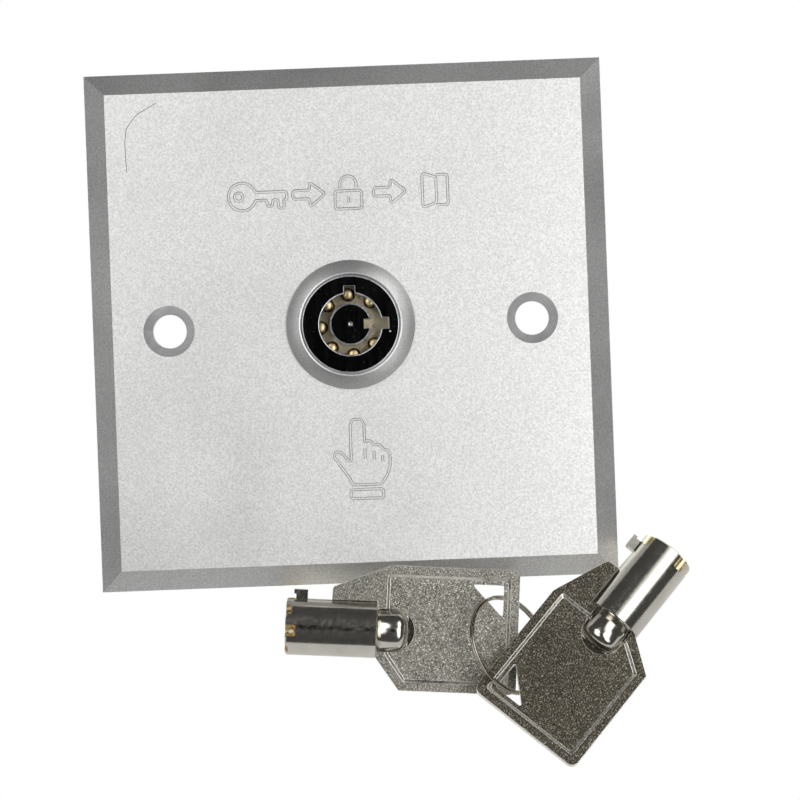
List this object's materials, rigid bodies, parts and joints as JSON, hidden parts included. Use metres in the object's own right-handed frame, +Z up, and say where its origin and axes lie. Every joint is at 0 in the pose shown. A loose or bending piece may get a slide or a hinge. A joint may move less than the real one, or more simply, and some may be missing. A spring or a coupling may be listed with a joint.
{
  "type": "selector key switch",
  "caption": "Key-operated release switch on a square bevelled metal wall plate, with a tubular-key lock, a rear micro-switch and keys on a split ring.",
  "frame": {"origin": "middle of the back face of the wall plate, where it meets the wall", "axes": "-Y out of the wall towards the user, +Y into the wall box, +X to the right seen from the front, +Z up"},
  "size_m": [0.0973, 0.0487, 0.116],
  "materials": {
    "anodised_aluminium": "sand-blasted and clear anodised, fine sparkle",
    "satin_ring": "satin, slightly convex",
    "chrome": "polished chrome plate",
    "brass": "turned brass, dull",
    "gold_pin": "polished brass heads",
    "contact_brass": "spring brass strip",
    "steel": "zinc-plated steel",
    "nickel": "polished nickel plate",
    "cast_nickel": "die-cast zinc, grained and nickel plated",
    "ring_steel": "nickel-plated spring steel, worn",
    "black_plastic": "moulded, fine texture",
    "red_plastic": "moulded"
  },
  "bodies": {
    "root": {"face_plate": "anodised_aluminium", "trim_ring": "satin_ring", "lock_casing": "chrome", "pin_housing": "brass", "housing_cross_pin": "steel", "toothed_washer": "steel", "switch_bracket": "steel", "hex_nut": "nickel", "switch_base": "black_plastic", "switch_cover": "black_plastic", "contact_blade": "contact_brass", "terminal_common": "nickel", "terminal_normally_open": "nickel", "terminal_normally_closed": "nickel", "switch_screw_1": "steel", "switch_screw_2": "steel", "driver_pin_1": "steel", "pin_spring_1": "steel", "driver_pin_2": "steel", "pin_spring_2": "steel", "driver_pin_3": "steel", "pin_spring_3": "steel", "driver_pin_4": "steel", "pin_spring_4": "steel", "driver_pin_5": "steel", "pin_spring_5": "steel", "driver_pin_6": "steel", "pin_spring_6": "steel", "driver_pin_7": "steel", "pin_spring_7": "steel"},
    "rotor": {"rotor": "brass", "cam": "brass", "cam_screw": "steel"},
    "plunger": {"switch_plunger": "red_plastic"},
    "ring": {"key_ring": "ring_steel"},
    "key_1": {"key_1_barrel": "nickel", "key_1_neck": "nickel", "key_1_bow": "cast_nickel"},
    "key_2": {"key_2_barrel": "nickel", "key_2_neck": "nickel", "key_2_bow": "cast_nickel"},
    "key_pin_1": {"key_pin_1": "gold_pin"},
    "key_pin_2": {"key_pin_2": "gold_pin"},
    "key_pin_3": {"key_pin_3": "gold_pin"},
    "key_pin_4": {"key_pin_4": "gold_pin"},
    "key_pin_5": {"key_pin_5": "gold_pin"},
    "key_pin_6": {"key_pin_6": "gold_pin"},
    "key_pin_7": {"key_pin_7": "gold_pin"}
  },
  "joints": [
    {"name": "rotor_turn", "type": "hinge", "parent": "root", "child": "rotor", "pos_m": [0, 0, 0], "axis": [0, 1, 0], "range_deg": [0, 90]},
    {"name": "plunger_press", "type": "slide", "parent": "root", "child": "plunger", "axis": [0, 0, -1], "range_m": [0, 0.0009]},
    {"name": "key_bunch_lift", "type": "slide", "parent": "root", "child": "ring", "axis": [0, -1, 0], "range_m": [0, 0.06]},
    {"name": "key_1_swing", "type": "hinge", "parent": "ring", "child": "key_1", "pos_m": [0.02203, -0.0056, -0.04599], "axis": [-0.7134, -0.7005, -0.0198], "range_deg": [-6, 14]},
    {"name": "key_2_swing", "type": "hinge", "parent": "ring", "child": "key_2", "pos_m": [0.0234, -0.01202, -0.06051], "axis": [0.7545, 0.508, -0.4156], "range_deg": [0, 40]},
    {"name": "key_pin_1_push", "type": "slide", "parent": "rotor", "child": "key_pin_1", "axis": [0, 1, 0], "range_m": [0, 0.0024], "stiffness_N_per_m": 50},
    {"name": "key_pin_2_push", "type": "slide", "parent": "rotor", "child": "key_pin_2", "axis": [0, 1, 0], "range_m": [0, 0.0015], "stiffness_N_per_m": 50},
    {"name": "key_pin_3_push", "type": "slide", "parent": "rotor", "child": "key_pin_3", "axis": [0, 1, 0], "range_m": [0, 0.0025], "stiffness_N_per_m": 50},
    {"name": "key_pin_4_push", "type": "slide", "parent": "rotor", "child": "key_pin_4", "axis": [0, 1, 0], "range_m": [0, 0.00185], "stiffness_N_per_m": 50},
    {"name": "key_pin_5_push", "type": "slide", "parent": "rotor", "child": "key_pin_5", "axis": [0, 1, 0], "range_m": [0, 0.003], "stiffness_N_per_m": 50},
    {"name": "key_pin_6_push", "type": "slide", "parent": "rotor", "child": "key_pin_6", "axis": [0, 1, 0], "range_m": [0, 0.0021], "stiffness_N_per_m": 50},
    {"name": "key_pin_7_push", "type": "slide", "parent": "rotor", "child": "key_pin_7", "axis": [0, 1, 0], "range_m": [0, 0.0013], "stiffness_N_per_m": 50}
  ],
  "couplings": [
    {"joint": "plunger_press", "follows": "rotor_turn", "m_per_rad": 0.00057296},
    {"joint": "key_pin_2_push", "follows": "key_pin_1_push", "ratio": 0.625},
    {"joint": "key_pin_3_push", "follows": "key_pin_1_push", "ratio": 1.0417},
    {"joint": "key_pin_4_push", "follows": "key_pin_1_push", "ratio": 0.77083},
    {"joint": "key_pin_5_push", "follows": "key_pin_1_push", "ratio": 1.25},
    {"joint": "key_pin_6_push", "follows": "key_pin_1_push", "ratio": 0.875},
    {"joint": "key_pin_7_push", "follows": "key_pin_1_push", "ratio": 0.54167}
  ]
}
